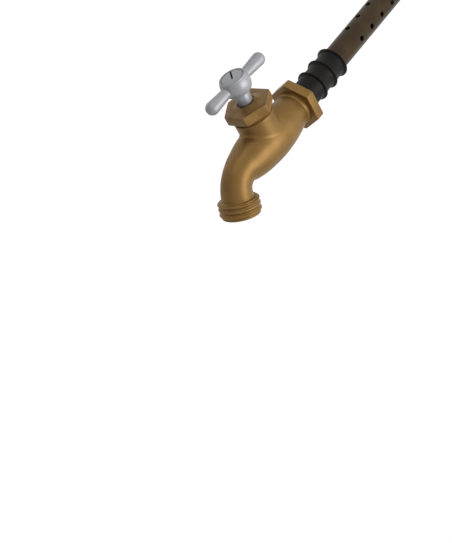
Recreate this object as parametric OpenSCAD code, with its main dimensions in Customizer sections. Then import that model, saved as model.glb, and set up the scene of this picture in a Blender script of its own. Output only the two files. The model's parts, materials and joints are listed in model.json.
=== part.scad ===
// Tap-shaped wine aerator: a cast elbow body with a quarter-turn plug valve,
// a finned stopper and a long perforated tube.
// Frame: +Z runs up the inlet, from the stopper into the body.
// +X points to the handle and the spout leaves towards -X.
// The origin is the middle of the inlet hexagon's rear face.

/* [Inlet] */
// Width of the inlet hexagon across its flats
inlet_af = 26.6; // [24:0.2:30]
// Thickness of the inlet hexagon
inlet_h = 5.3; // [4:0.1:8]
// How far the hexagon's corners are eased at both faces
inlet_ease = 0.5; // [0.2:0.1:1.5]
// Radius of the round collar in front of the hexagon
collar_r = 10.6; // [10.2:0.1:12]
// Height of the collar
collar_h = 2.7; // [1.5:0.1:4]
// Radius of the collar's rounded edge
collar_round = 1.1; // [0.4:0.1:1.4]
// Radius of the water way through the body
way_r = 4.5; // [3.5:0.1:4.8]

/* [Barrel] */
// Radius of the barrel where it leaves the collar
throat_r = 10.1; // [9.4:0.1:10.3]
// Largest radius of the barrel
belly_r = 12.8; // [12:0.1:14]
// Height of the largest radius above the rear face
belly_z = 35.5; // [32:0.5:37]
// Lean of the barrel's upper part towards the handle, in degrees
shoulder_lean = 2.5; // [0:0.5:5]
// Radius of the barrel in the bend
bend_tube_r = 8.9; // [8.6:0.1:10]
// Radius of the bend's middle line
bend_r = 12.6; // [12:0.1:14]

/* [Spout] */
// Height at which the spout's axis crosses the inlet's axis
spout_z = 64.8; // [62:0.2:70]
// Rise of the spout's axis, in degrees
spout_rise = 20; // [10:1:30]
// Radius of the spout above its thread
spout_r = 8.5; // [8.2:0.1:8.7]
// Distance along the spout's axis from the inlet's axis to its end
spout_l = 19.4; // [18.5:0.1:24]
// Length of the threaded end
thread_l = 9.5; // [9.2:0.1:10.5]
// Radius at the bottom of the thread
thread_core_r = 10.6; // [10:0.1:11]
// Radius over the thread
thread_r = 11.55; // [11.2:0.05:12]
// Pitch of the thread
thread_pitch = 3; // [2.5:0.05:3.2]
// Number of crests on the thread
thread_crests = 3; // [2:1:3]
// Distance of the first crest from the thread's start
thread_lead = 1.3; // [1.2:0.1:1.5]
// Radius of the plain end beyond the thread
spout_end_r = 10.7; // [10.2:0.1:11]

/* [Bonnet] */
// Height of the bonnet's axis above the rear face
bonnet_z = 32.5; // [30:0.5:35]
// Outer radius of the neck
neck_r = 11.5; // [10.8:0.1:11.8]
// Distance of the neck's top face from the inlet's axis
neck_top = 19.4; // [19:0.1:23]
// Width of the bonnet nut across its flats
nut_af = 24.4; // [24:0.2:28]
// Height of the bonnet nut's hexagon
nut_h = 4.9; // [4:0.1:7]
// How far the nut's corners are eased at both faces
nut_ease = 0.4; // [0.2:0.1:1.5]
// Height of the nut's round collar below its hexagon
nut_collar_h = 1; // [0.6:0.1:2]
// Radius of the threaded part that goes into the neck
spigot_r = 8; // [7.8:0.1:8.6]
// Radius of the nut's hole where it is widened at the top
nut_mouth_r = 4.95; // [4.7:0.05:5.5]
// Depth of the widened hole
nut_mouth_h = 1.6; // [0.8:0.1:3]
// Thickness of the washer under the nut
nut_washer_t = 0.7; // [0.4:0.1:1]
// How far the edges of the washer and the nut's collar lie inside the neck's
nut_washer_in = 0.5; // [0.2:0.1:1]

/* [Valve] */
// Radius of the valve plug
plug_r = 6.4; // [6.2:0.1:6.8]
// Radius of the hole through the plug
plug_way_r = 4; // [3:0.1:4.2]
// Distance of the plug's ends from the inlet's axis
plug_half = 7.6; // [7:0.1:8]
// Wall of the liner around the plug
liner_wall = 0.85; // [0.6:0.05:1]
// Room between the plug's lower end and the chamber's floor
plug_foot = 0.4; // [0.2:0.1:0.6]
// How far the valve stands short of fully open at rest, in degrees
rest_turn = 3; // [0:1:10]

/* [Stem] */
// Radius of the stem
stem_r = 4.3; // [4:0.1:4.6]
// Radius of the stem's collar
stem_collar_r = 5.8; // [5.4:0.1:6]
// Thickness of the stem's collar
stem_collar_h = 1.9; // [1.5:0.1:2.2]
// Thickness of the tongue that turns the plug
tongue_t = 3.2; // [2:0.1:4]
// Width of the tongue
tongue_w = 9; // [7:0.5:10]
// Depth of the tongue in the plug
tongue_h = 2.2; // [1.5:0.1:2.6]
// Thickness of the thrust washer above the collar
thrust_t = 0.9; // [0.6:0.1:1.2]
// Radius of the stem rings' round section
stem_ring_r = 0.55; // [0.4:0.05:0.7]
// Distance between the two stem rings
stem_ring_gap = 3.2; // [2.5:0.1:4]
// Width of the square at the stem's top
square_w = 6; // [5:0.1:6]
// Length of the square
square_l = 4.6; // [3.5:0.1:5]

/* [Handle] */
// Distance of the arms' middle line from the inlet's axis
arm_x = 39.4; // [38.5:0.1:41]
// Radius of an arm at the hub
arm_root_r = 2.45; // [2.3:0.05:3.2]
// Radius of an arm's round tip
arm_tip_r = 3.8; // [3:0.05:4.2]
// Distance between the middles of the two round tips
arm_span = 41; // [36:0.5:50]
// Distance of the hub's lower face from the inlet's axis
hub_low = 34; // [33.5:0.1:34.4]
// Distance of the hub's top from the inlet's axis
hub_top = 44; // [43.5:0.1:44.8]
// Largest radius of the hub
hub_r = 8.55; // [8:0.05:9]
// Radius of the curve of the hub's side
hub_curve_r = 9; // [8.7:0.1:12]
// How far the hub's largest radius lies above its middle
hub_belly = 0.45; // [0:0.05:1.5]
// Radius of the recess in the hub's top
recess_r = 6.4; // [6:0.05:6.6]
// Depth of the recess down to the screw's head
recess_h = 0.1; // [0.1:0.1:1]
// Width of the gap around the screw's head
head_gap = 0.2; // [0.05:0.05:0.4]
// Thickness of the screw's head
screw_head_h = 1.8; // [1.4:0.1:2.4]
// Radius of the screw's shank
screw_r = 2; // [1.5:0.1:2.1]
// How far the shank reaches into the stem below its square
screw_reach = 3; // [1:0.1:4]
// Width of the screw's slot
slot_w = 1; // [0.6:0.1:1.2]
// Depth of the screw's slot
slot_h = 1; // [0.5:0.1:1.2]
// How far the slot runs past the middle of the head
slot_past = 1; // [0:0.1:3]
// Direction of the slot, in degrees
slot_turn = 55; // [0:1:90]
// Thickness of the washer under the screw's head
screw_washer_t = 0.5; // [0.3:0.1:0.8]
// How far the washer's edge lies inside the recess
screw_washer_in = 1; // [0.5:0.1:2]

/* [Stopper] */
// Radius of the stopper's fins
fin_r = 9.7; // [9.3:0.1:10.5]
// Thickness of a fin at its rim
fin_t = 0.9; // [0.6:0.1:1.4]
// Thickness of a fin at its root
fin_root_t = 1.9; // [1.4:0.1:2.4]
// Number of fins
fins = 3; // [2:1:4]
// Distance from fin to fin
fin_pitch = 10.1; // [8:0.1:11]
// Distance of the first fin below the rear face
fin_first = 13.2; // [10:0.1:15]
// Wall of the stopper's sleeve
sleeve_wall = 0.95; // [0.8:0.05:1.2]
// Length of the sleeve beyond the last fin
sleeve_tail = 1.6; // [1:0.1:4]
// Depth of the sleeve's seat in the body
sleeve_seat = 1.4; // [0.8:0.1:2]

/* [Tube] */
// Outer radius of the perforated tube
tube_r = 7.25; // [7:0.05:7.6]
// Wall of the tube
tube_wall = 0.9; // [0.6:0.05:1.4]
// Length of the tube below the rear face
tube_l = 106; // [95:1:130]
// Depth of the tube's socket in the body
socket_h = 10; // [8.5:0.1:12]
// Radius of the holes in the tube
hole_r = 1.5; // [0.8:0.1:2]
// Number of hole rows along the tube
hole_rows = 5; // [3:1:5]
// Number of holes around the tube in each row
holes_round = 4; // [2:1:6]
// Distance from row to row
hole_pitch = 11; // [8:0.1:11.5]
// Distance of the last row above the tube's lower end
hole_end = 7; // [4:0.5:9]
// Radius of the tube ring's round section
tube_ring_r = 0.8; // [0.6:0.05:0.9]
// Distance of the tube ring's middle from the socket's floor
tube_ring_in = 1.8; // [1.5:0.1:4]

/* [Outlet] */
// Radius of the pocket that holds the outlet's pieces
pocket_r = 8; // [7.6:0.1:8.2]
// Depth of the pocket
pocket_h = 7.8; // [7.6:0.1:8.2]
// Radius of the outlet ring's round section
outlet_ring_r = 0.55; // [0.4:0.05:0.6]
// Wall of the outlet's holder
holder_wall = 1.1; // [0.8:0.1:1.4]
// Width of the holder's ledge
ledge_w = 1.1; // [0.8:0.1:1.6]
// Thickness of the holder's ledge
ledge_h = 1; // [0.8:0.1:1.4]
// Thickness of the diffuser disc
diffuser_t = 1.5; // [1:0.1:2]
// Radius of the diffuser's holes
diffuser_hole_r = 0.55; // [0.4:0.05:0.6]
// Distance between the diffuser's rings of holes
diffuser_pitch = 2; // [1.6:0.1:2.1]
// Width of the diffuser's plain rim
diffuser_rim = 1; // [0.7:0.1:1.3]
// Thickness of the screen
screen_t = 0.5; // [0.3:0.1:0.8]
// Distance from mesh to mesh in the screen
mesh_pitch = 1.15; // [1.1:0.05:1.6]
// Width of the screen's wires
mesh_wire = 0.35; // [0.25:0.05:0.5]
// Width of the screen's plain rim
screen_rim = 0.9; // [0.7:0.1:1.3]
// Thickness of the snap ring
snap_t = 0.7; // [0.5:0.1:0.9]
// How far the snap ring goes into its groove
snap_bite = 0.5; // [0.3:0.1:0.7]
// Width of the snap ring
snap_w = 1.15; // [0.9:0.05:1.5]
// Distance of the snap ring from the spout's end
snap_in = 0.5; // [0.4:0.1:0.8]
// Opening of the snap ring, in degrees
snap_gap = 40; // [25:5:70]

/* [Fits] */
// Radial clearance of a piece that turns in a bore
running_gap = 0.05; // [0.02:0.01:0.09]
// Radial clearance of a piece that is only put together
fitting_gap = 0.05; // [0.02:0.01:0.1]
// Clearance between faces that slide over each other
face_gap = 0.05; // [0.03:0.01:0.1]

/* [Hidden] */
$fn = 96;

// how far a cut reaches past the face that it opens
past = 1;
// how far two shapes of the body reach into each other, so that no two edges fall together
seam = 0.1;

// the barrel's middle line: up the inlet, then leaning, then round the bend into the spout
bend_turn = 90 - spout_rise + shoulder_lean;
bend_tangent = bend_r * tan(bend_turn / 2);
shoulder_l = (spout_z - belly_z) / (cos(shoulder_lean) + sin(shoulder_lean) * tan(spout_rise))
    - bend_tangent;
barrel_z = inlet_h + collar_h;
// distance from the inlet's axis to the bend's end, along the spout
bend_end = bend_tangent - (shoulder_l + bend_tangent) * sin(shoulder_lean) / cos(spout_rise);
thread_z = spout_l - thread_l;
thread_first = thread_z + thread_lead;

// the plug valve, along the bonnet's axis
chamber_r = plug_r + running_gap + liner_wall;
chamber_floor = -plug_half - plug_foot;
collar_low = plug_half + face_gap;
collar_top = collar_low + stem_collar_h;
thrust_low = collar_top + face_gap;
spigot_low = thrust_low + thrust_t;
nut_low = neck_top + nut_washer_t + nut_collar_h;
nut_top = nut_low + nut_h;
stem_bore_r = stem_r + running_gap;
stem_ring_x = (spigot_low + nut_top - nut_mouth_h) / 2;

// the handle, along the bonnet's axis
head_top = hub_top - recess_h;
head_low = head_top - screw_head_h;
web_top = head_low - screw_washer_t;
web_low = hub_low + square_l + fitting_gap;
screw_end = hub_low - screw_reach;

// the stopper and the tube, down the inlet's axis
sleeve_r = tube_r + sleeve_wall;
fin_last = fin_first + (fins - 1) * fin_pitch;
tube_ring_z = socket_h - tube_ring_in;

// the outlet's pieces, along the spout's axis
pocket_floor = spout_l - pocket_h;
holder_low = pocket_floor + 2 * outlet_ring_r;
snap_z = spout_l - snap_in - snap_t;
ledge_z = snap_z - face_gap - ledge_h;
holder_r = pocket_r - fitting_gap;
disc_r = holder_r - holder_wall - fitting_gap;
screen_z = ledge_z - screen_t;
diffuser_z = screen_z - diffuser_t;

// radius of the arc that falls by drop over a length
function arc_radius(length, drop) = (length * length + drop * drop) / (2 * drop);

// frame of the bonnet: its z runs along the bonnet's axis, away from the inlet's axis
module at_bonnet(height = 0) {
    translate([height, 0, bonnet_z]) rotate([0, 90, 0]) children();
}

// turns what turns with the handle to its place at rest
module turned() {
    translate([0, 0, bonnet_z]) rotate([-rest_turn, 0, 0]) translate([0, 0, -bonnet_z]) children();
}

// frame of the spout: its z runs along the spout's axis, from the inlet's axis
module at_spout(height = 0) {
    translate([0, 0, spout_z]) rotate([0, spout_rise - 90, 0]) translate([0, 0, height]) children();
}

// frame of the leaning upper part of the barrel, at its largest radius
module at_belly() {
    translate([0, 0, belly_z]) rotate([0, shoulder_lean, 0]) children();
}

// a ring of round section around the z axis
module round_ring(middle_r, section_r) {
    rotate_extrude() translate([middle_r, 0]) circle(r = section_r, $fn = 32);
}

// a flat ring around the z axis
module flat_ring(outer_r, inner_r, height) {
    difference() {
        cylinder(r = outer_r, h = height);
        translate([0, 0, -past]) cylinder(r = inner_r, h = height + 2 * past);
    }
}

// a hexagonal block with its corners eased at both faces
module eased_hexagon(across_flats, height, ease) {
    corner_r = across_flats / 2 / cos(30);
    intersection() {
        cylinder(r = corner_r, h = height, $fn = 6);
        rotate_extrude() polygon([
            [0, 0], [corner_r - ease, 0], [corner_r, ease * 0.6],
            [corner_r, height - ease * 0.6], [corner_r - ease, height], [0, height]
        ]);
    }
}

// half of the barrel: its radius falls along an arc from the belly, and may go on beyond its length
module barrel_half(length, end_r, beyond = 0) {
    curve_r = arc_radius(length, belly_r - end_r);
    rotate_extrude() intersection() {
        translate([belly_r - curve_r, 0]) circle(r = curve_r, $fn = 360);
        square([belly_r + past, length + beyond]);
    }
}

// the rounded collar between the hexagon and the barrel
module inlet_collar() {
    translate([0, 0, inlet_h]) {
        cylinder(r = collar_r, h = collar_h - collar_round);
        translate([0, 0, collar_h - collar_round]) {
            cylinder(r = collar_r - collar_round, h = collar_round);
            round_ring(collar_r - collar_round, collar_round);
        }
    }
}

module bend() {
    translate([-bend_r, 0, shoulder_l]) rotate([90, 0, 0])
        rotate_extrude(angle = bend_turn) translate([bend_r, 0]) circle(r = bend_tube_r);
}

// one crest of the thread
module thread_crest() {
    crest = thread_r - thread_core_r;
    rotate_extrude() polygon([
        [thread_core_r - past, -crest - past / 2], [thread_core_r, -crest], [thread_r, -crest / 3],
        [thread_r, crest / 3], [thread_core_r, crest], [thread_core_r - past, crest + past / 2]
    ]);
}

module threaded_end() {
    shoulder_h = thread_core_r - spout_r;
    start = bend_end - seam;
    at_spout(start) cylinder(r1 = bend_tube_r - seam, r2 = spout_r, h = thread_z - shoulder_h / 2 - start);
    at_spout(thread_z - shoulder_h / 2)
        cylinder(r1 = spout_r, r2 = thread_core_r, h = shoulder_h);
    at_spout(thread_z) {
        translate([0, 0, shoulder_h / 2]) cylinder(r = thread_core_r, h = thread_l - shoulder_h / 2 - past);
        translate([0, 0, thread_l - past]) cylinder(r = spout_end_r, h = past);
    }
    for (i = [0 : thread_crests - 1])
        at_spout(thread_first + i * thread_pitch) thread_crest();
}

// everything that is taken out of the body
module body_ways() {
    // the stopper's seat and the tube's socket with its ring groove
    translate([0, 0, -past]) cylinder(r = sleeve_r, h = sleeve_seat + past);
    cylinder(r = tube_r, h = socket_h);
    translate([0, 0, tube_ring_z - tube_ring_r])
        cylinder(r = tube_r + 2 * tube_ring_r, h = 2 * tube_ring_r);
    // the way through, round the corner and out to the pocket
    cylinder(r = way_r, h = spout_z);
    translate([0, 0, spout_z]) sphere(r = way_r + seam / 2);
    at_spout() cylinder(r = way_r, h = pocket_floor + past);
    at_spout(pocket_floor) cylinder(r = pocket_r, h = pocket_h + past);
    at_spout(snap_z) cylinder(r = pocket_r + snap_bite, h = snap_t);
    // the valve's chamber and the neck's threaded hole
    at_bonnet(chamber_floor) cylinder(r = chamber_r, h = neck_top - chamber_floor);
    at_bonnet(thrust_low) cylinder(r = spigot_r, h = neck_top - thrust_low + past);
}

module body() {
    color([0.60, 0.46, 0.28]) difference() {
        union() {
            eased_hexagon(inlet_af, inlet_h, inlet_ease);
            inlet_collar();
            translate([0, 0, belly_z]) mirror([0, 0, 1])
                barrel_half(belly_z - barrel_z, throat_r, collar_round);
            at_belly() {
                barrel_half(shoulder_l + seam, bend_tube_r + seam / 4);
                bend();
            }
            // fills the wedge between the two halves
            translate([0, 0, belly_z]) sphere(r = belly_r - seam / 4);
            threaded_end();
            at_bonnet() cylinder(r = neck_r, h = neck_top);
        }
        body_ways();
    }
}

module bonnet_nut() {
    color([0.58, 0.44, 0.27]) difference() {
        union() {
            at_bonnet(nut_low) rotate([0, 0, 90]) eased_hexagon(nut_af, nut_h, nut_ease);
            at_bonnet(neck_top + nut_washer_t) cylinder(r = neck_r - nut_washer_in, h = nut_collar_h);
            at_bonnet(spigot_low) cylinder(r = spigot_r - fitting_gap, h = nut_low - spigot_low);
        }
        at_bonnet(spigot_low - past) cylinder(r = stem_bore_r, h = nut_top - spigot_low + 2 * past);
        at_bonnet(nut_top - nut_mouth_h) cylinder(r = nut_mouth_r, h = nut_mouth_h + past);
    }
}

module bonnet_washer() {
    color([0.25, 0.18, 0.12]) at_bonnet(neck_top)
        flat_ring(neck_r - nut_washer_in, spigot_r + fitting_gap, nut_washer_t);
}

module plug_liner() {
    color([0.93, 0.93, 0.90]) difference() {
        at_bonnet(chamber_floor)
            flat_ring(chamber_r, plug_r + running_gap, plug_half - chamber_floor);
        translate([0, 0, bonnet_z - chamber_r - past]) cylinder(r = plug_way_r, h = 2 * (chamber_r + past));
    }
}

// the block that turns the plug: a tongue on the stem, or the slot for it
module tongue(gap) {
    width = tongue_w + 2 * gap;
    thick = tongue_t + 2 * gap;
    translate([-thick / 2, -width / 2, 0]) cube([thick, width, tongue_h + face_gap + past]);
}

module valve_plug() {
    color([0.72, 0.60, 0.38]) turned() difference() {
        at_bonnet(-plug_half) cylinder(r = plug_r, h = 2 * plug_half);
        translate([0, 0, bonnet_z - plug_r - past]) cylinder(r = plug_way_r, h = 2 * (plug_r + past));
        at_bonnet(plug_half - tongue_h) tongue(fitting_gap);
    }
}

// the place of a ring on the stem: side is -1 for the lower ring and 1 for the upper one
module at_stem_ring(side) {
    at_bonnet(stem_ring_x + side * stem_ring_gap / 2) children();
}

module stem() {
    groove_r = stem_bore_r - 2 * stem_ring_r;
    color([0.66, 0.67, 0.70]) turned() difference() {
        union() {
            at_bonnet(collar_low - tongue_h) intersection() {
                tongue(0);
                cylinder(r = plug_r, h = tongue_h + past / 2);
            }
            at_bonnet(collar_low) cylinder(r = stem_collar_r, h = stem_collar_h);
            at_bonnet(collar_low) cylinder(r = stem_r, h = hub_low - collar_low);
            at_bonnet(hub_low) translate([-square_w / 2, -square_w / 2, 0])
                cube([square_w, square_w, square_l]);
        }
        for (side = [-1, 1])
            at_stem_ring(side) translate([0, 0, -stem_ring_r - face_gap])
                flat_ring(stem_r + past, groove_r, 2 * (stem_ring_r + face_gap));
        at_bonnet(screw_end) cylinder(r = screw_r, h = hub_low + square_l - screw_end + past);
    }
}

module stem_ring(side) {
    color([0.08, 0.08, 0.08]) at_stem_ring(side)
        round_ring(stem_bore_r - stem_ring_r - face_gap / 2, stem_ring_r - face_gap / 2);
}

module stem_ring_lower() {
    stem_ring(-1);
}

module stem_ring_upper() {
    stem_ring(1);
}

module thrust_washer() {
    color([0.90, 0.90, 0.86]) at_bonnet(thrust_low)
        flat_ring(spigot_r - fitting_gap, stem_bore_r, thrust_t);
}

// one arm of the handle, along z from the hub's middle
module arm() {
    cylinder(r1 = arm_root_r, r2 = arm_tip_r, h = arm_span / 2);
    translate([0, 0, arm_span / 2]) sphere(r = arm_tip_r);
}

module handle_hub() {
    middle = (hub_low + hub_top) / 2 + hub_belly;
    at_bonnet(middle) rotate_extrude() intersection() {
        translate([hub_r - hub_curve_r, 0]) circle(r = hub_curve_r);
        translate([0, hub_low - middle]) square([hub_r + past, hub_top - hub_low]);
    }
}

module handle() {
    socket_w = square_w + 2 * fitting_gap;
    color([0.62, 0.64, 0.68]) turned() difference() {
        union() {
            handle_hub();
            translate([arm_x, 0, bonnet_z]) {
                arm();
                mirror([0, 0, 1]) arm();
            }
        }
        at_bonnet(hub_low - past) translate([-socket_w / 2, -socket_w / 2, 0])
            cube([socket_w, socket_w, web_low - hub_low + past]);
        at_bonnet(web_low - past) cylinder(r = screw_r + fitting_gap, h = web_top - web_low + 2 * past);
        at_bonnet(web_top) cylinder(r = recess_r, h = hub_top - web_top + past);
    }
}

module screw_washer() {
    color([0.55, 0.56, 0.58]) at_bonnet(web_top)
        flat_ring(recess_r - screw_washer_in, screw_r + fitting_gap, screw_washer_t);
}

module handle_screw() {
    head_r = recess_r - head_gap;
    color([0.55, 0.56, 0.59]) turned() difference() {
        union() {
            at_bonnet(head_low) cylinder(r = head_r, h = screw_head_h);
            at_bonnet(screw_end) cylinder(r = screw_r, h = head_low - screw_end);
        }
        at_bonnet(head_top - slot_h) rotate([0, 0, slot_turn])
            translate([-slot_past, -slot_w / 2, 0]) cube([head_r + slot_past + past, slot_w, slot_h + past]);
    }
}

module aeration_tube() {
    color([0.34, 0.27, 0.19]) difference() {
        translate([0, 0, -tube_l]) flat_ring(tube_r, tube_r - tube_wall, tube_l + socket_h);
        for (row = [0 : hole_rows - 1], turn = [0 : 360 / holes_round : 359])
            translate([0, 0, -tube_l + hole_end + row * hole_pitch]) rotate([0, 0, turn]) rotate([0, 90, 0])
                cylinder(r = hole_r, h = tube_r + past, $fn = 32);
    }
}

module tube_ring() {
    color([0.08, 0.08, 0.08]) translate([0, 0, tube_ring_z])
        round_ring(tube_r + tube_ring_r, tube_ring_r - face_gap / 2);
}

// a thin fin: a short cylindrical rim on a root that widens towards the sleeve
module fin() {
    rotate_extrude() polygon([
        [sleeve_r - sleeve_wall / 2, -fin_root_t / 2], [fin_r, -fin_t / 2],
        [fin_r, fin_t / 2], [sleeve_r - sleeve_wall / 2, fin_root_t / 2]
    ]);
}

module stopper_sleeve() {
    sleeve_low = -fin_last - sleeve_tail;
    color([0.10, 0.09, 0.09]) difference() {
        union() {
            translate([0, 0, sleeve_low]) cylinder(r = sleeve_r, h = sleeve_seat - sleeve_low);
            for (i = [0 : fins - 1])
                translate([0, 0, -fin_first - i * fin_pitch]) fin();
        }
        translate([0, 0, sleeve_low - past]) cylinder(r = tube_r, h = sleeve_seat - sleeve_low + 2 * past);
    }
}

module outlet_ring() {
    color([0.08, 0.08, 0.08]) at_spout(pocket_floor + outlet_ring_r)
        round_ring(holder_r - holder_wall / 2, outlet_ring_r - face_gap / 2);
}

module outlet_holder() {
    color([0.16, 0.16, 0.17]) difference() {
        at_spout(holder_low) cylinder(r = holder_r, h = ledge_z + ledge_h - holder_low);
        at_spout(holder_low - past) cylinder(r = holder_r - holder_wall, h = ledge_z - holder_low + past);
        at_spout(ledge_z - past) cylinder(r = holder_r - holder_wall - ledge_w, h = ledge_h + 2 * past);
    }
}

// rings of holes around one hole in the middle
module diffuser_disc() {
    rings = floor((disc_r - diffuser_rim) / diffuser_pitch);
    color([0.75, 0.76, 0.78]) difference() {
        at_spout(diffuser_z) cylinder(r = disc_r, h = diffuser_t);
        for (ring = [0 : rings], i = [0 : max(1, 6 * ring) - 1])
            at_spout(diffuser_z - past) rotate([0, 0, i * 60 / max(1, ring)])
                translate([ring * diffuser_pitch, 0, 0])
                    cylinder(r = diffuser_hole_r, h = diffuser_t + 2 * past, $fn = 16);
    }
}

// a round screen with square meshes inside a plain rim
module outlet_screen() {
    mesh = mesh_pitch - mesh_wire;
    reach = disc_r - screen_rim;
    half = floor(reach / mesh_pitch);
    color([0.72, 0.73, 0.75]) difference() {
        at_spout(screen_z) cylinder(r = disc_r, h = screen_t);
        for (i = [-half : half], j = [-half : half])
            if (norm([abs(i) * mesh_pitch + mesh / 2, abs(j) * mesh_pitch + mesh / 2]) < reach)
                at_spout(screen_z - past) translate([i * mesh_pitch - mesh / 2, j * mesh_pitch - mesh / 2, 0])
                    cube([mesh, mesh, screen_t + 2 * past]);
    }
}

// an open spring ring in the pocket's groove
module snap_ring() {
    outer_r = pocket_r + snap_bite;
    color([0.62, 0.63, 0.65]) difference() {
        at_spout(snap_z) flat_ring(outer_r, outer_r - snap_w, snap_t);
        at_spout(snap_z - past) linear_extrude(height = snap_t + 2 * past) polygon([
            [0, 0], [2 * outer_r * cos(snap_gap / 2), 2 * outer_r * sin(snap_gap / 2)],
            [2 * outer_r * cos(snap_gap / 2), -2 * outer_r * sin(snap_gap / 2)]
        ]);
    }
}

body();
bonnet_nut();
bonnet_washer();
plug_liner();
valve_plug();
stem();
stem_ring_lower();
stem_ring_upper();
thrust_washer();
handle();
screw_washer();
handle_screw();
aeration_tube();
tube_ring();
stopper_sleeve();
outlet_ring();
outlet_holder();
diffuser_disc();
outlet_screen();
snap_ring();
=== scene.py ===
import json
import math

import bpy
from mathutils import Matrix, Vector


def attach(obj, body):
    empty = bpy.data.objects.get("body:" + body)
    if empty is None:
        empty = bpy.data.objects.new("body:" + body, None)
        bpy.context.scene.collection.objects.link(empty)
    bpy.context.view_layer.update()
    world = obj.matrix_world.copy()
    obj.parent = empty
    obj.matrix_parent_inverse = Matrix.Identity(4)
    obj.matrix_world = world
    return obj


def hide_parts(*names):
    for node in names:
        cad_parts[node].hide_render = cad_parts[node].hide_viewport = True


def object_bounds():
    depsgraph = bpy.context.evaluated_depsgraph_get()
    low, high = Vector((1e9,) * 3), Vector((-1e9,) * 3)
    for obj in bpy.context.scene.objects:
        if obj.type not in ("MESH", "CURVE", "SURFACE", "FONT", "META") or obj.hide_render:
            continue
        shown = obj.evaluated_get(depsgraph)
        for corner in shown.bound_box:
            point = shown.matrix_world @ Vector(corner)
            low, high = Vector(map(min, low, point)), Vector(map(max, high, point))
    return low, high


mm = 0.001
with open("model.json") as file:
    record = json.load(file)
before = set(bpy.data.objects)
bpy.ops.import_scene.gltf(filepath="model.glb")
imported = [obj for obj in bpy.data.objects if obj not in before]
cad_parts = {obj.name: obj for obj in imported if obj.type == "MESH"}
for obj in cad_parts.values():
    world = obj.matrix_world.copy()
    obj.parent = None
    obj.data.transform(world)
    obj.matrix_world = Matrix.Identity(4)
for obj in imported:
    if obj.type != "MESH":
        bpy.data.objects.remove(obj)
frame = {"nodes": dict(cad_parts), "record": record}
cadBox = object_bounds()
nodes = frame["nodes"]
print("frame loaded,", len(nodes), "nodes")


# Picking and moving

def pickOnly(piece):
    bpy.ops.object.select_all(action="DESELECT")
    piece.select_set(True)
    bpy.context.view_layer.objects.active = piece


def newPiece(name):
    # the primitive that was just added, under its own name
    piece = bpy.context.active_object
    piece.name = name
    piece.data.name = name
    return piece


def settle(piece):
    # the place goes into the mesh and the object to the origin
    pickOnly(piece)
    bpy.ops.object.transform_apply(location=True, rotation=True, scale=True)


def turnTo(piece, direction, place):
    # a piece that was made along z is turned to point in a direction
    turn = Vector(direction).to_track_quat("Z", "Y").to_matrix().to_4x4()
    piece.data.transform(Matrix.Translation(Vector(place)) @ turn)


def applyAll(piece):
    pickOnly(piece)
    for modifier in list(piece.modifiers):
        bpy.ops.object.modifier_apply(modifier=modifier.name)


def cleanMesh(piece, weld=0.002 * mm):
    pickOnly(piece)
    bpy.ops.object.mode_set(mode="EDIT")
    bpy.ops.mesh.select_all(action="SELECT")
    bpy.ops.mesh.remove_doubles(threshold=weld)
    bpy.ops.mesh.normals_make_consistent(inside=False)
    bpy.ops.object.mode_set(mode="OBJECT")


def boolean(piece, other, operation):
    # the other piece is used up
    cut = piece.modifiers.new(operation.lower(), "BOOLEAN")
    cut.operation = operation
    cut.object = other
    cut.solver = "EXACT"
    pickOnly(piece)
    bpy.ops.object.modifier_apply(modifier=cut.name)
    bpy.data.objects.remove(other)
    cleanMesh(piece)


def smoothSides(piece, angle):
    pickOnly(piece)
    bpy.ops.object.shade_smooth_by_angle(angle=math.radians(angle))


def spinProfile(name, profile, steps=128):
    # profile points are (radius, height) in millimetres, round the z axis and closed by the last point
    mesh = bpy.data.meshes.new(name)
    points = [(radius * mm, 0, height * mm) for radius, height in profile]
    edges = [(i, (i + 1) % len(points)) for i in range(len(points))]
    mesh.from_pydata(points, edges, [])
    piece = bpy.data.objects.new(name, mesh)
    bpy.context.collection.objects.link(piece)
    pickOnly(piece)
    bpy.ops.object.mode_set(mode="EDIT")
    bpy.ops.mesh.select_all(action="SELECT")
    bpy.ops.mesh.spin(steps=steps, angle=math.tau, center=(0, 0, 0), axis=(0, 0, 1))
    bpy.ops.object.mode_set(mode="OBJECT")
    cleanMesh(piece)
    return piece


def roundCorner(corner, radius, startAngle, endAngle, steps=5):
    # points of an arc around a (radius, height) centre, in degrees from outwards to upwards
    angles = [math.radians(startAngle + (endAngle - startAngle) * i / steps) for i in range(steps + 1)]
    return [(corner[0] + radius * math.cos(a), corner[1] + radius * math.sin(a)) for a in angles]


# Camera, matched to the two hexagons, the handle and the spout

camera = {
    "place": (382.4, -522.6, 424.4),
    "right": (-0.43873, -0.70054, -0.56282),
    "up": (0.70246, 0.12324, -0.70097),
    "focalPixels": 1400,
    "imageHeight": 543,
    "sensor": 36,
}


def makeCamera():
    data = bpy.data.cameras.new("camera")
    data.sensor_fit = "VERTICAL"
    data.sensor_height = camera["sensor"]
    data.lens = camera["focalPixels"] / camera["imageHeight"] * camera["sensor"]
    data.clip_start = 0.01
    data.clip_end = 20
    holder = bpy.data.objects.new("camera", data)
    right = Vector(camera["right"]).normalized()
    up = Vector(camera["up"]).normalized()
    back = right.cross(up)
    turn = Matrix((right, up, back)).transposed().to_4x4()
    holder.matrix_world = Matrix.Translation(Vector(camera["place"]) * mm) @ turn
    bpy.context.scene.collection.objects.link(holder)
    bpy.context.scene.camera = holder
    print("camera placed")


makeCamera()


# Materials

def newMaterial(name, baseColor, metallic, roughness, shine):
    material = bpy.data.materials.new(name)
    material.use_nodes = True
    shader = material.node_tree.nodes["Principled BSDF"]
    shader.inputs["Base Color"].default_value = (*baseColor, 1)
    shader.inputs["Metallic"].default_value = metallic
    shader.inputs["Roughness"].default_value = roughness
    shader.inputs["Specular IOR Level"].default_value = shine
    return material, shader


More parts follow.
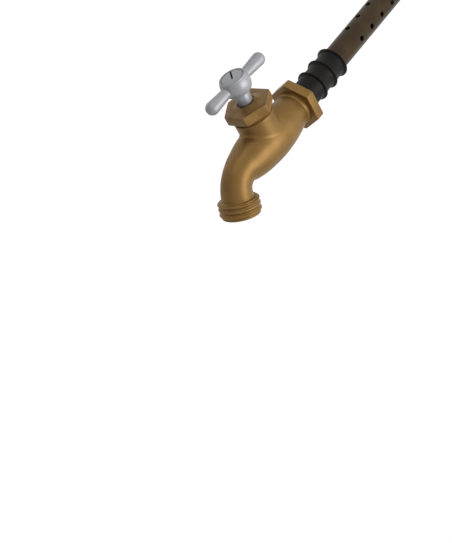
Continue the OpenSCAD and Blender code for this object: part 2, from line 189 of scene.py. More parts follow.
def addNoise(material, scale, detail):
    # noise on Object coordinates, its scale in waves to the metre
    tree = material.node_tree
    coordinates = tree.nodes.new("ShaderNodeTexCoord")
    noise = tree.nodes.new("ShaderNodeTexNoise")
    noise.inputs["Scale"].default_value = scale
    noise.inputs["Detail"].default_value = detail
    tree.links.new(coordinates.outputs["Object"], noise.inputs["Vector"])
    return noise


def addRamp(material, source, low, high, start=0.35, stop=0.65):
    ramp = material.node_tree.nodes.new("ShaderNodeValToRGB")
    ramp.color_ramp.elements[0].position = start
    ramp.color_ramp.elements[0].color = (*low, 1)
    ramp.color_ramp.elements[1].position = stop
    ramp.color_ramp.elements[1].color = (*high, 1)
    material.node_tree.links.new(source, ramp.inputs["Fac"])
    return ramp


def addRange(material, source, low, high):
    # the middle of the noise, where most of it lies, goes from low to high
    spread = material.node_tree.nodes.new("ShaderNodeMapRange")
    spread.inputs["From Min"].default_value = 0.3
    spread.inputs["From Max"].default_value = 0.7
    spread.inputs["To Min"].default_value = low
    spread.inputs["To Max"].default_value = high
    material.node_tree.links.new(source, spread.inputs["Value"])
    return spread


def addBump(material, shader, source, depth):
    bump = material.node_tree.nodes.new("ShaderNodeBump")
    bump.inputs["Distance"].default_value = depth
    material.node_tree.links.new(source, bump.inputs["Height"])
    material.node_tree.links.new(bump.outputs["Normal"], shader.inputs["Normal"])


def satinMetal(name, dark, light, metallic, roughness, patch, grain=2600, shine=0.1):
    # soft patches of colour, a fine grain in gloss and surface
    material, shader = newMaterial(name, light, metallic, sum(roughness) / 2, shine)
    patches = addNoise(material, patch, 4)
    colour = addRamp(material, patches.outputs["Fac"], dark, light)
    fine = addNoise(material, grain, 2)
    gloss = addRange(material, fine.outputs["Fac"], *roughness)
    material.node_tree.links.new(colour.outputs["Color"], shader.inputs["Base Color"])
    material.node_tree.links.new(gloss.outputs["Result"], shader.inputs["Roughness"])
    addBump(material, shader, fine.outputs["Fac"], 0.006 * mm)
    return material


def moulded(name, dark, light, roughness, shine=0.3, grain=2500):
    # plastic, rubber or fibre with a fine grain
    material, shader = newMaterial(name, light, 0, sum(roughness) / 2, shine)
    fine = addNoise(material, grain, 2)
    colour = addRamp(material, fine.outputs["Fac"], dark, light)
    gloss = addRange(material, fine.outputs["Fac"], *roughness)
    material.node_tree.links.new(colour.outputs["Color"], shader.inputs["Base Color"])
    material.node_tree.links.new(gloss.outputs["Result"], shader.inputs["Roughness"])
    addBump(material, shader, fine.outputs["Fac"], 0.008 * mm)
    return material


finishes = {
    "cast_brass": satinMetal("castBronze", dark=(0.21, 0.115, 0.031), light=(0.26, 0.147, 0.042),
                             metallic=0.42, roughness=(0.4, 0.48), patch=90, shine=0.2),
    "nut_brass": satinMetal("nutBronze", dark=(0.23, 0.127, 0.036), light=(0.34, 0.192, 0.058),
                            metallic=0.2, roughness=(0.38, 0.48), patch=200, shine=0.2),
    "plug_brass": satinMetal("turnedBrass", dark=(0.5, 0.33, 0.12), light=(0.58, 0.4, 0.16),
                             metallic=0.8, roughness=(0.25, 0.35), patch=100, grain=1800),
    "tube_bronze": satinMetal("tubeBronze", dark=(0.05, 0.033, 0.018), light=(0.07, 0.047, 0.026),
                              metallic=0.4, roughness=(0.34, 0.45), patch=70, grain=2200),
    "satin_alloy": satinMetal("satinAlloy", dark=(0.38, 0.384, 0.405), light=(0.43, 0.434, 0.455),
                              metallic=0.2, roughness=(0.36, 0.44), patch=120, shine=0.5),
    "satin_steel": satinMetal("satinSteel", dark=(0.35, 0.362, 0.39), light=(0.41, 0.42, 0.447),
                              metallic=0.3, roughness=(0.34, 0.42), patch=120, shine=0.5),
    "screen_steel": satinMetal("brushedSteel", dark=(0.42, 0.43, 0.44), light=(0.52, 0.53, 0.54),
                               metallic=0.85, roughness=(0.25, 0.35), patch=150),
    # the washer's fibre brown, darkened so that it also serves as painted shade under the bonnet nut
    "fibre": moulded("fibreWithPaintedShade", dark=(0.15, 0.08, 0.018), light=(0.19, 0.1, 0.024),
                     roughness=(0.6, 0.75), shine=0.1, grain=1500),
    "liner_plastic": moulded("linerPlastic", dark=(0.74, 0.74, 0.7), light=(0.82, 0.82, 0.78),
                             roughness=(0.4, 0.5)),
    "holder_plastic": moulded("holderPlastic", dark=(0.02, 0.02, 0.022), light=(0.03, 0.03, 0.033),
                              roughness=(0.42, 0.52)),
    "seal_rubber": moulded("sealRubber", dark=(0.009, 0.009, 0.009), light=(0.014, 0.014, 0.014),
                           roughness=(0.45, 0.55), shine=0.15),
    # painted shade: a near-black for the inside of the handle screw's slot
    "slot_painted_shade": moulded("slotPaintedShade", dark=(0.02, 0.02, 0.022), light=(0.04, 0.04, 0.043),
                          roughness=(0.6, 0.7), shine=0.05),
    "stopper_rubber": moulded("stopperRubber", dark=(0.006, 0.0055, 0.005), light=(0.011, 0.01, 0.009),
                              roughness=(0.42, 0.54), shine=0.12),
}
print("materials made,", len(finishes))


def dress(piece, slot):
    piece.data.materials.clear()
    piece.data.materials.append(finishes[slot])


def hangOn(piece, body, slot, *replaced):
    # a finished piece rides on its body and stands for its nodes, and keeps a finish that it already has
    settle(piece)
    if not piece.data.materials:
        dress(piece, slot)
    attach(piece, body)
    if replaced:
        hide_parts(*replaced)


slotOf = {part["node"]: part["material_slot"] for part in frame["record"]["subparts"]}
for nodeName, node in nodes.items():
    dress(node, slotOf[nodeName])


# Body: a cast elbow with a neck, an inlet flange and a threaded end

casting = {
    "bellyHeight": 30.5,
    "lean": 2.6,
    "spoutHeight": 64.8,
    "spoutRise": 20,
    "bendRadius": 13.8,
    # distance along the barrel's middle line from the rear face, and radius there
    "radii": ((2, 8.6), (8, 10.0), (14, 11.24), (20, 12.2), (26, 12.71), (30.5, 12.83), (35, 12.81),
              (39, 12.6), (43, 12.29), (47, 11.77), (51, 10.92), (55, 9.85), (60, 8.78), (66, 8.57),
              (72, 8.85), (80, 9.1)),
    "pathStep": 0.7,
    "spoutEnd": 11,
    "neckRadius": 11.5,
    # the neck stops low to leave room for the tall washer that stands in as painted shade under the nut
    "neckTop": 18.3,
    "neckEdge": 0.3,
    "rimHeight": 0.8,
    "rimOverlap": 0.7,
    "neckHeight": 32.5,
    "voxel": 0.42,
    "smoothing": 26,
}

# the spout's direction, from its axis' height on the inlet axis
rise = math.radians(casting["spoutRise"])
spoutDirection = Vector((-math.cos(rise), 0, math.sin(rise)))
spoutStart = Vector((0, 0, casting["spoutHeight"])) * mm


def barrelPath():
    # points of the middle line: straight to the belly, leaning, round the bend, into the spout
    lean = math.radians(casting["lean"])
    turn = math.pi / 2 - rise + lean
    tangent = casting["bendRadius"] * math.tan(turn / 2)
    belly = Vector((0, 0, casting["bellyHeight"]))
    up = Vector((math.sin(lean), 0, math.cos(lean)))
    toCorner = (casting["spoutHeight"] - casting["bellyHeight"]) / (up.z + up.x * math.tan(rise))
    corner = belly + up * toCorner
    bendStart = corner - up * tangent
    side = Vector((-up.z, 0, up.x))
    centre = bendStart + side * casting["bendRadius"]
    path = []
    distance = casting["radii"][0][0]
    lowerEnd = casting["bellyHeight"]
    straightEnd = lowerEnd + toCorner - tangent
    bendEnd = straightEnd + casting["bendRadius"] * turn
    cornerAlongSpout = (corner - Vector((0, 0, casting["spoutHeight"]))).dot(spoutDirection)
    end = bendEnd + casting["spoutEnd"] - cornerAlongSpout - tangent
    while distance < end + casting["pathStep"] / 2:
        if distance < lowerEnd:
            path.append((distance, Vector((0, 0, distance))))
        elif distance < straightEnd:
            path.append((distance, belly + up * (distance - lowerEnd)))
        elif distance < bendEnd:
            angle = (distance - straightEnd) / casting["bendRadius"]
            arm = -side * math.cos(angle) + up * math.sin(angle)
            path.append((distance, centre + arm * casting["bendRadius"]))
        else:
            path.append((distance, corner + spoutDirection * (tangent + distance - bendEnd)))
        distance += casting["pathStep"]
    return path


def radiusAt(distance):
    # a smooth curve through the radii (Catmull-Rom)
    pairs = casting["radii"]
    i = max(1, next((k for k, pair in enumerate(pairs) if pair[0] >= distance), len(pairs) - 1))
    before, after = pairs[i - 1], pairs[i]
    span = after[0] - before[0]
    t = min(1, max(0, (distance - before[0]) / span))

    def slope(k):
        a, b = pairs[max(k - 1, 0)], pairs[min(k + 1, len(pairs) - 1)]
        return (b[1] - a[1]) / (b[0] - a[0]) * span

    return ((2 * t**3 - 3 * t**2 + 1) * before[1] + (t**3 - 2 * t**2 + t) * slope(i - 1)
            + (-2 * t**3 + 3 * t**2) * after[1] + (t**3 - t**2) * slope(i))


def makeBarrel():
    path = barrelPath()
    data = bpy.data.curves.new("barrel", "CURVE")
    data.dimensions = "3D"
    data.bevel_depth = mm
    data.bevel_resolution = 22
    data.use_fill_caps = True
    spline = data.splines.new("POLY")
    spline.points.add(len(path) - 1)
    for point, (distance, place) in zip(spline.points, path):
        point.co = (*(place * mm), 1)
        point.radius = radiusAt(distance)
    barrel = bpy.data.objects.new("barrel", data)
    bpy.context.collection.objects.link(barrel)
    pickOnly(barrel)
    bpy.ops.object.convert(target="MESH")
    barrel = bpy.context.active_object
    cleanMesh(barrel)
    return barrel


def makeCasting():
    barrel = makeBarrel()
    deep = casting["neckTop"] + 3
    bpy.ops.mesh.primitive_cylinder_add(vertices=128, radius=casting["neckRadius"] * mm, depth=deep * mm,
                                        rotation=(0, math.pi / 2, 0),
                                        location=(deep / 2 * mm, 0, casting["neckHeight"] * mm))
    neck = newPiece("neck")
    settle(neck)
    boolean(barrel, neck, "UNION")
    remesh = barrel.modifiers.new("voxels", "REMESH")
    remesh.mode = "VOXEL"
    remesh.voxel_size = casting["voxel"] * mm
    smooth = barrel.modifiers.new("soften", "SMOOTH")
    smooth.factor = 0.5
    smooth.iterations = casting["smoothing"]
    applyAll(barrel)
    # the neck is cut off flat and gets a turned rim with a round edge
    cutAt = casting["neckTop"] - casting["rimHeight"]
    rimLow = cutAt - casting["rimOverlap"]
    bpy.ops.object.mode_set(mode="EDIT")
    bpy.ops.mesh.select_all(action="SELECT")
    bpy.ops.mesh.bisect(plane_co=(cutAt * mm, 0, 0), plane_no=(1, 0, 0), use_fill=True, clear_outer=True)
    bpy.ops.object.mode_set(mode="OBJECT")
    radius = casting["neckRadius"]
    edge = casting["neckEdge"]
    profile = [(0, rimLow), (radius, rimLow)]
    profile += roundCorner((radius - edge, casting["neckTop"] - edge), edge, 0, 90, 5)
    profile += [(0, casting["neckTop"])]
    rim = spinProfile("neckRim", profile)
    turnTo(rim, (1, 0, 0), (0, 0, casting["neckHeight"] * mm))
    boolean(barrel, rim, "UNION")
    print("casting made,", len(barrel.data.polygons), "faces")
    return barrel


# the inlet's hexagon and the round collar above it
flange = {
    "acrossFlats": 26.6,
    "height": 5.3,
    "cornerEase": 0.5,
    "edgeRadius": 0.25,
    "collarRadius": 10.6,
    "collarHeight": 2.7,
    "collarRound": 1.1,
    "overlap": 1,
}


def easedHexagon(name, acrossFlats, height, ease, edgeRadius):
    # vertices on the x axis, corners turned off at both faces, all edges a little round
    cornerRadius = acrossFlats / 2 / math.cos(math.pi / 6)
    bpy.ops.mesh.primitive_cylinder_add(vertices=6, radius=cornerRadius * mm, depth=height * mm,
                                        location=(0, 0, height / 2 * mm), rotation=(0, 0, math.pi / 2))
    hexagon = newPiece(name)
    settle(hexagon)
    turned = spinProfile(name + "Turned", [
        (0, 0), (cornerRadius - ease, 0), (cornerRadius, ease * 0.6), (cornerRadius, height - ease * 0.6),
        (cornerRadius - ease, height), (0, height)], 192)
    boolean(hexagon, turned, "INTERSECT")
    bevel = hexagon.modifiers.new("edges", "BEVEL")
    bevel.width = edgeRadius * mm
    bevel.segments = 3
    bevel.limit_method = "ANGLE"
    bevel.angle_limit = math.radians(28)
    applyAll(hexagon)
    return hexagon


def makeFlange():
    hexagon = easedHexagon("flange", flange["acrossFlats"], flange["height"], flange["cornerEase"],
                           flange["edgeRadius"])
    low = flange["height"] - flange["overlap"]
    top = flange["height"] + flange["collarHeight"]
    inner = flange["collarRadius"] - flange["collarRound"]
    profile = [(0, low), (flange["collarRadius"], low)]
    profile += roundCorner((inner, top - flange["collarRound"]), flange["collarRound"], 0, 90, 8)
    profile += [(0, top)]
    boolean(hexagon, spinProfile("collar", profile), "UNION")
    return hexagon


# the spout's end, turned as one profile: shoulder, three round crests, lip, and the outlet's pocket inside
threadedEnd = {
    "start": 9.9,
    "length": 9.5,
    "neckRadius": 8.75,
    "coreRadius": 10.65,
    "crestRadius": 11.6,
    "endRadius": 10.75,
    "pitch": 3,
    "firstCrest": 11.15,
    "crestFull": 0.8,
    "wallRings": 60,
    "wallStart": 0.75,
    "wallStop": 1.2,
    "overlap": 1.6,
    "shoulderRound": 0.5,
    "lipRound": 0.35,
    "mouthEase": 0.3,
    "fadeIn": 0.7,
    "fadeOut": 0.7,
    "pocketRadius": 8,
    "pocketDepth": 7.8,
    "grooveRadius": 8.5,
    "grooveLow": 18.2,
    "grooveHigh": 18.9,
    "wayRadius": 4.5,
}


def crestRise(height, low, top):
    # how far the wall stands out at a height: round crests that fade at both ends
    part = threadedEnd
    wave = 0.5 + 0.5 * math.cos(math.tau * (height - part["firstCrest"]) / part["pitch"])
    fade = min(1, (height - low) / part["fadeIn"], (top - height) / part["fadeOut"])
    return (part["crestRadius"] - part["coreRadius"]) * wave**part["crestFull"] * fade * (2 - fade)


def makeThreadedEnd():
    part = threadedEnd
    end = part["start"] + part["length"]
    low = part["start"] + part["wallStart"]
    top = end - part["wallStop"]
    pocketFloor = end - part["pocketDepth"]
    inSpout = part["start"] - part["overlap"]
    shoulder = part["shoulderRound"]
    lip = part["lipRound"]
    neck = part["neckRadius"]
    profile = [(part["wayRadius"], inSpout), (neck - 0.4, inSpout), (neck + 0.1, part["start"] - 0.2),
               (neck + 0.5, part["start"] + 0.05)]
    profile += roundCorner((part["coreRadius"] - shoulder, low), shoulder, -80, 0)
    for i in range(1, part["wallRings"] + 1):
        height = low + (top - low) * i / part["wallRings"]
        profile.append((part["coreRadius"] + crestRise(height, low, top), height))
    profile += roundCorner((part["endRadius"] - lip, end - 0.9), lip, -60, 0, 3)
    profile += roundCorner((part["endRadius"] - lip, end - lip), lip, 0, 90, 4)
    pocket = part["pocketRadius"]
    profile += [(pocket + part["mouthEase"], end), (pocket, end - part["mouthEase"]),
                (pocket, part["grooveHigh"]), (part["grooveRadius"], part["grooveHigh"]),
                (part["grooveRadius"], part["grooveLow"]), (pocket, part["grooveLow"]),
                (pocket, pocketFloor), (part["wayRadius"], pocketFloor)]
    spoutEnd = spinProfile("threadedEnd", profile, 144)
    turnTo(spoutEnd, spoutDirection, spoutStart)
    return spoutEnd


# what is bored out of the body: the stopper's seat, the tube's socket, the ways, the plug's chamber
bores = {
    "seatRadius": 8.2,
    "seatDepth": 1.4,
    "tubeRadius": 7.25,
    "tubeDepth": 10,
    "grooveRadius": 8.85,
    "grooveLow": 7.4,
    "grooveHigh": 9,
    "wayRadius": 4.5,
    "chamberRadius": 7.3,
    "chamberFloor": -8,
    "spigotRadius": 8,
    "spigotLow": 9.6,
    "spoutWayStart": 0.2,
    "spoutWayEnd": 12,
    "spoutWayEase": 0.03,
}


def makeBores():
    part = bores
    corner = casting["spoutHeight"]
    way = part["wayRadius"]
    cutter = spinProfile("bores", [
        (0, -1), (part["seatRadius"], -1), (part["seatRadius"], part["seatDepth"]),
        (part["tubeRadius"], part["seatDepth"]), (part["tubeRadius"], part["grooveLow"]),
        (part["grooveRadius"], part["grooveLow"]), (part["grooveRadius"], part["grooveHigh"]),
        (part["tubeRadius"], part["grooveHigh"]), (part["tubeRadius"], part["tubeDepth"]),
        (way, part["tubeDepth"]), (way, corner)] + roundCorner((0, corner), way, 6, 90, 9), 64)
    # a hair narrower than the rising way, so that the two walls never lie on each other
    spoutWay = way - part["spoutWayEase"]
    toPocket = spinProfile("toPocket", [
        (0, part["spoutWayStart"]), (spoutWay, part["spoutWayStart"]), (spoutWay, part["spoutWayEnd"]),
        (0, part["spoutWayEnd"])], 64)
    turnTo(toPocket, spoutDirection, spoutStart)
    boolean(cutter, toPocket, "UNION")
    chamber = spinProfile("chamber", [
        (0, part["chamberFloor"]), (part["chamberRadius"], part["chamberFloor"]),
        (part["chamberRadius"], part["spigotLow"]), (part["spigotRadius"], part["spigotLow"]),
        (part["spigotRadius"], casting["neckTop"] + 1), (0, casting["neckTop"] + 1)], 96)
    turnTo(chamber, (1, 0, 0), (0, 0, casting["neckHeight"] * mm))
    boolean(cutter, chamber, "UNION")
    return cutter


def makeBody():
    body = makeCasting()
    boolean(body, makeFlange(), "UNION")
    boolean(body, makeThreadedEnd(), "UNION")
    boolean(body, makeBores(), "DIFFERENCE")
    smoothSides(body, 40)
    body.name = "tapBody"
    hangOn(body, "tap_body", "cast_brass", "body")
    print("body made,", len(body.data.polygons), "faces")


makeBody()


# Bonnet nut: a hexagon with its corners on the y axis, a threaded spigot below, the stem's hole through both

bonnetNut = {
    "acrossFlats": 24.4,
    "low": 20.5,
    "height": 5.5,
    "cornerEase": 0.4,
    "edgeRadius": 0.22,
    "spigotRadius": 7.95,
    "spigotLow": 10.5,
    "spigotEase": 0.4,
    "boreRadius": 4.35,
    "mouthRadius": 4.95,
    "mouthDepth": 1,
    "mouthEase": 0.25,
    # the low boss round the stem: how far in from its foot, and the share of its height there
    "bossHeight": 1.4,
    "bossRadius": 8.6,
    "bossSteps": ((0.9, 0.16), (1.9, 0.48), (2.7, 0.85), (3.1, 0.97), (3.3, 1)),
}
bonnetDirection = Vector((1, 0, 0))
bonnetStart = Vector((0, 0, casting["neckHeight"])) * mm


def makeBonnetNut():
    part = bonnetNut
    top = part["height"]
    nut = easedHexagon("bonnetNut", part["acrossFlats"], part["height"], part["cornerEase"],
                       part["edgeRadius"])
    spigotEnd = part["spigotLow"] - part["low"]
    ease = part["spigotEase"]
    spigot = spinProfile("spigot", [
        (0, spigotEnd), (part["spigotRadius"] - ease, spigotEnd), (part["spigotRadius"], spigotEnd + ease),
        (part["spigotRadius"], 0.5), (0, 0.5)])
    boolean(nut, spigot, "UNION")
    foot = part["bossRadius"]
    profile = [(0, top - 0.4), (foot + 0.3, top - 0.4), (foot, top + 0.03)]
    profile += [(foot - inwards, top + part["bossHeight"] * share) for inwards, share in part["bossSteps"]]
    top += part["bossHeight"]
    profile += [(0, top)]
    boolean(nut, spinProfile("nutBoss", profile), "UNION")
    mouth = part["mouthRadius"]
    rim = mouth + part["mouthEase"]
    hole = spinProfile("stemHole", [
        (0, spigotEnd - 1), (part["boreRadius"], spigotEnd - 1),
        (part["boreRadius"], top - part["mouthDepth"]), (mouth, top - part["mouthDepth"]),
        (mouth, top - part["mouthEase"]), (rim, top), (rim, top + 1), (0, top + 1)])
    boolean(nut, hole, "DIFFERENCE")
    turnTo(nut, bonnetDirection, bonnetStart + bonnetDirection * part["low"] * mm)
    smoothSides(nut, 30)
    hangOn(nut, "tap_body", "nut_brass", "bonnet_nut")
    print("bonnet nut made")


makeBonnetNut()


# Bonnet washer: pressed fibre, between the neck's rim and the nut; it is taller and darker than the real
# washer, so that it also stands in as painted shade for the shadow band under the nut

bonnetWasher = {
    "radius": 11.3,
    "holeRadius": 8.05,
    "edge": 0.15,
}


def makeBonnetWasher():
    hole = bonnetWasher["holeRadius"]
    radius = bonnetWasher["radius"]
    edge = bonnetWasher["edge"]
    low = casting["neckTop"]
    top = bonnetNut["low"]
    washer = spinProfile("bonnetWasher", [
        (hole, low), (radius - edge, low), (radius, low + edge), (radius, top - edge), (radius - edge, top),
        (hole, top)], 96)
    turnTo(washer, bonnetDirection, bonnetStart)
    smoothSides(washer, 30)
    hangOn(washer, "tap_body", "fibre", "bonnet_washer")
    print("bonnet washer made")


makeBonnetWasher()


# Handle: a barrel-shaped hub with a recess, and two arms with round tips, a little short of fully open

handle = {
    "restTurn": 3,
    "low": 34,
    "footHeight": 0.5,
    "footRadius": 4.3,
    "top": 44,
    "widest": 39.45,
    "radius": 8.55,
    "sideCurve": 9,
    "sideSteps": 24,
    "lowEdge": 0.4,
    "rimRound": 0.45,
    "recessRadius": 6.4,
    "recessEdge": 0.2,
    "webTop": 41.6,
    "webLow": 38.65,
    "square": 6.1,
    "screwHole": 2.05,
    "armHeight": 39.4,
    "armRoot": 2.45,
    "armTip": 3.8,
    "armReach": 20,
}


def turnToRest(piece):
    # about the bonnet's axis, by the angle that the valve stands short of fully open
    turn = Matrix.Rotation(math.radians(-handle["restTurn"]), 4, "X")
    piece.data.transform(Matrix.Translation(bonnetStart) @ turn @ Matrix.Translation(-bonnetStart))


def sideRadius(height):
    # the hub's radius at a height, on the arc of its side
    part = handle
    return part["radius"] - part["sideCurve"] + math.sqrt(part["sideCurve"]**2 - (height - part["widest"])**2)


def makeArm(direction):
    part = handle
    profile = [(0, 0), (part["armRoot"], 0), (part["armTip"], part["armReach"])]
    profile += roundCorner((0, part["armReach"]), part["armTip"], 4, 90, 14)
    arm = spinProfile("arm", profile, 64)
    turnTo(arm, direction, bonnetStart + bonnetDirection * part["armHeight"] * mm)
    return arm


def makeHandle():
    part = handle
    hubLow = part["low"] + part["footHeight"]
    sideLow = hubLow + part["lowEdge"]
    sideTop = part["top"] - part["rimRound"]
    steps = part["sideSteps"]
    heights = [sideLow + (sideTop - sideLow) * i / steps for i in range(steps + 1)]
    rimRadius = sideRadius(sideTop) - part["rimRound"]
    profile = [(0, part["low"]), (part["footRadius"], part["low"]), (part["footRadius"], hubLow),
               (sideRadius(sideLow) - part["lowEdge"], hubLow)]
    profile += [(sideRadius(height), height) for height in heights]
    profile += roundCorner((rimRadius, sideTop), part["rimRound"], 12, 90, 6)
    profile += [(0, part["top"])]
    hub = spinProfile("handle", profile)
    turnTo(hub, bonnetDirection, bonnetStart)
    for direction in ((0, 0, 1), (0, 0, -1)):
        boolean(hub, makeArm(direction), "UNION")
    # the screw's hole and its recess are turned out after the arms are on
    edge = part["recessEdge"]
    mouth = part["recessRadius"] + edge
    recess = spinProfile("recess", [
        (0, part["webLow"] - 1), (part["screwHole"], part["webLow"] - 1), (part["screwHole"], part["webTop"]),
        (part["recessRadius"], part["webTop"]), (part["recessRadius"], part["top"] - edge),
        (mouth, part["top"] + edge * 0.3), (mouth, part["top"] + 1), (0, part["top"] + 1)])
    turnTo(recess, bonnetDirection, bonnetStart)
    boolean(hub, recess, "DIFFERENCE")
    # the stem's square goes up to the web, and starts a millimetre below the hub
    middle = (part["webLow"] + part["low"] - 1) / 2
    bpy.ops.mesh.primitive_cube_add(size=mm, location=bonnetStart + bonnetDirection * middle * mm,
                                    scale=(part["webLow"] - part["low"] + 1, part["square"], part["square"]))
    square = newPiece("square")
    settle(square)
    boolean(hub, square, "DIFFERENCE")
    turnToRest(hub)
    smoothSides(hub, 32)
    hangOn(hub, "turning_handle", "satin_alloy", "handle")
    print("handle made")


makeHandle()


# Handle screw: a flat head that fills the hub's recess, with half a slot whose inside gets painted shade

handleScrew = {
    "headTop": 43.9,
    "headHeight": 1.8,
    "headRadius": 6.2,
    "headEdge": 0.3,
    "shankRadius": 2,
    "shankEnd": 31,
    "shankEase": 0.3,
    "slotWidth": 1,
    "slotDepth": 1,
    "slotPast": 2.2,
    "slotTurn": -40,
    "slotShadow": 0.25,
}


def makeHandleScrew():
    part = handleScrew
    low = part["headTop"] - part["headHeight"]
    shank = part["shankRadius"]
    ease = part["shankEase"]
    edge = part["headEdge"]
    profile = [(0, part["shankEnd"]), (shank - ease, part["shankEnd"]), (shank, part["shankEnd"] + ease),
               (shank, low), (part["headRadius"], low)]
    profile += roundCorner((part["headRadius"] - edge, part["headTop"] - edge), edge, 0, 90, 6)
    profile += [(0, part["headTop"])]
    screw = spinProfile("handleScrew", profile)
    length = part["headRadius"] + part["slotPast"] + 1
    bpy.ops.mesh.primitive_cube_add(size=mm, scale=(length, part["slotWidth"], part["slotDepth"] * 2),
                                    location=((length / 2 - part["slotPast"]) * mm, 0, 0))
    slot = newPiece("slot")
    settle(slot)
    slot.data.transform(Matrix.Translation((0, 0, part["headTop"] * mm))
                        @ Matrix.Rotation(math.radians(part["slotTurn"]), 4, "Z"))
    boolean(screw, slot, "DIFFERENCE")
    dress(screw, "satin_steel")
    screw.data.materials.append(finishes["slot_painted_shade"])
    # the slot's walls and floor, a little below its rim, get a dark material as painted shade
    for face in screw.data.polygons:
        inside = math.hypot(face.center.x, face.center.y) < (part["headRadius"] - 0.02) * mm
        deep = part["headTop"] * mm - face.center.z
        if inside and part["slotShadow"] * mm < deep < (part["slotDepth"] + 0.05) * mm:
            face.material_index = 1
    turnTo(screw, bonnetDirection, bonnetStart)
    turnToRest(screw)
    smoothSides(screw, 30)
    hangOn(screw, "turning_handle", "satin_steel", "handle_screw")
    print("handle screw made")


makeHandleScrew()


# Stopper: a rubber sleeve with thin round-edged fins

stopper = {
    "tubeRadius": 7.25,
    "radius": 8.2,
    "top": 1.4,
    "low": -35,
    "fins": 3,
    "finFirst": -13.2,
    "finPitch": 10.1,
    "finRadius": 9.7,
    "finThick": 0.9,
    "finRoot": 1.9,
    # the fin's foot: how far out from the sleeve, and how far past the root
    "finFoot": ((0, 0.35), (0.1, 0.08), (0.35, -0.12)),
    "lowEdge": 0.4,
}


def finPoints(height):
    # down one fin: its upper foot, the flank, the round rim, the flank and the lower foot
    part = stopper
    rim = part["finThick"] / 2
    root = part["finRoot"] / 2
    points = [(part["radius"] + out, height + root + past) for out, past in part["finFoot"]]
    points += roundCorner((part["finRadius"] - rim, height), rim, 75, -75, 10)
    points += [(part["radius"] + out, height - root - past) for out, past in reversed(part["finFoot"])]
    return points


def makeStopper():
    part = stopper
    profile = [(part["tubeRadius"], part["top"]), (part["radius"], part["top"])]
    for i in range(part["fins"]):
        profile += finPoints(part["finFirst"] - i * part["finPitch"])
    edge = part["lowEdge"]
    profile += [(part["radius"], part["low"] + edge)]
    profile += roundCorner((part["radius"] - edge, part["low"] + edge), edge, -20, -90, 4)
    profile += [(part["tubeRadius"], part["low"])]
    sleeve = spinProfile("stopperSleeve", profile)
    smoothSides(sleeve, 40)
    hangOn(sleeve, "tap_body", "stopper_rubber", "stopper_sleeve")
    print("stopper made")


makeStopper()


# Perforated tube: rows of holes, each a little countersunk, and a round lower lip

perforatedTube = {
    "radius": 7.25,
    "wall": 0.9,
    "top": 10,
    "low": -106,
    "lip": 0.4,
    "topEase": 0.3,
    "holeRadius": 1.5,
    "holeEase": 0.22,
    "rows": 5,
    "firstRow": -55,
    "rowPitch": 11,
    "holesRound": 4,
}


def makeHoleCutter(height, turn):
    part = perforatedTube
    surface = part["radius"]
    hole = part["holeRadius"]
    ease = part["holeEase"]
    cutter = spinProfile("holeCutter", [
        (0, 1), (hole, 1), (hole, surface - ease * 1.6), (hole + ease, surface + 0.02),
        (hole + ease, surface + 1), (0, surface + 1)], 32)
    turnTo(cutter, (math.cos(turn), math.sin(turn), 0), (0, 0, height * mm))
    return cutter


def makeTube():
    part = perforatedTube
    radius = part["radius"]
    inner = radius - part["wall"]
    ease = part["topEase"]
    lip = part["lip"]
    lipTop = part["low"] + lip
    top = part["top"]
    profile = [(inner, top), (radius - ease, top), (radius, top - ease), (radius, lipTop)]
    profile += roundCorner((radius - lip, lipTop), lip, -15, -165, 8)
    profile += [(inner, lipTop + 0.2)]
    tube = spinProfile("perforatedTube", profile)
    for row in range(part["rows"]):
        height = part["firstRow"] - row * part["rowPitch"]
        for side in range(part["holesRound"]):
            boolean(tube, makeHoleCutter(height, math.tau * side / part["holesRound"]), "DIFFERENCE")
    smoothSides(tube, 30)
    hangOn(tube, "tap_body", "tube_bronze", "aeration_tube")
    print("tube made")


makeTube()


# Floor and light

stage = {
    "floorSize": 5,
    "floorDrop": 0.2,
    "floorColor": (0.8, 0.8, 0.8),
    "floorGlow": 0.9,
    "skyForLight": 0.15,
}


def addSeen(tree):
    # 1 for camera, gloss and transmission rays, which see a plain white, and 0 for light on the object
    path = tree.nodes.new("ShaderNodeLightPath")
    either = tree.nodes.new("ShaderNodeMath")
    either.operation = "MAXIMUM"
    tree.links.new(path.outputs["Is Camera Ray"], either.inputs[0])
    tree.links.new(path.outputs["Is Glossy Ray"], either.inputs[1])
    anySeen = tree.nodes.new("ShaderNodeMath")
    anySeen.operation = "MAXIMUM"
    tree.links.new(either.outputs[0], anySeen.inputs[0])
    tree.links.new(path.outputs["Is Transmission Ray"], anySeen.inputs[1])
    return anySeen.outputs[0]


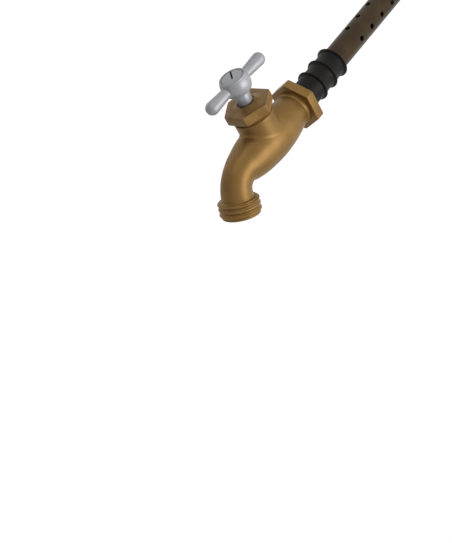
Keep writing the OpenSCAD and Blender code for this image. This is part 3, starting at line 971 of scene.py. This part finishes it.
def makeFloor():
    # paper with a glow that only camera, gloss and transmission rays see, so that the object's shadow stays
    low = cadBox[0][2] - stage["floorDrop"] * mm
    bpy.ops.mesh.primitive_plane_add(size=stage["floorSize"], location=(0, 0, low))
    floor = newPiece("floor")
    settle(floor)
    material = bpy.data.materials.new("floorPaper")
    material.use_nodes = True
    tree = material.node_tree
    shader = tree.nodes["Principled BSDF"]
    shader.inputs["Base Color"].default_value = (*stage["floorColor"], 1)
    shader.inputs["Roughness"].default_value = 0.9
    shader.inputs["Specular IOR Level"].default_value = 0
    shader.inputs["Emission Color"].default_value = (1, 1, 1, 1)
    glow = tree.nodes.new("ShaderNodeMath")
    glow.operation = "MULTIPLY"
    glow.inputs[1].default_value = stage["floorGlow"]
    tree.links.new(addSeen(tree), glow.inputs[0])
    tree.links.new(glow.outputs[0], shader.inputs["Emission Strength"])
    floor.data.materials.append(material)


def makeSky():
    world = bpy.data.worlds.new("sky")
    bpy.context.scene.world = world
    world.use_nodes = True
    tree = world.node_tree
    background = tree.nodes["Background"]
    spread = tree.nodes.new("ShaderNodeMapRange")
    spread.inputs["To Min"].default_value = stage["skyForLight"]
    spread.inputs["To Max"].default_value = 1
    tree.links.new(addSeen(tree), spread.inputs["Value"])
    background.inputs["Color"].default_value = (1, 1, 1, 1)
    tree.links.new(spread.outputs["Result"], background.inputs["Strength"])


lamps = {
    "key": {"place": (-25, -290, -15), "target": (0, 0, 40), "size": 200, "power": 0.67},
    "end": {"place": (400, -45, 10), "target": (0, 0, 40), "size": 180, "power": 0.21},
    "rim": {"place": (240, 310, 20), "target": (0, 0, 40), "size": 180, "power": 0.08},
}


def makeLamps():
    for name, lamp in lamps.items():
        data = bpy.data.lights.new(name, "AREA")
        data.shape = "SQUARE"
        data.size = lamp["size"] * mm
        data.energy = lamp["power"]
        holder = bpy.data.objects.new(name, data)
        holder.location = Vector(lamp["place"]) * mm
        aim = Vector(lamp["target"]) * mm - holder.location
        holder.rotation_euler = aim.to_track_quat("-Z", "Y").to_euler()
        bpy.context.scene.collection.objects.link(holder)


makeFloor()
makeSky()
makeLamps()
bpy.context.scene.view_settings.view_transform = "Standard"
print("stage set")
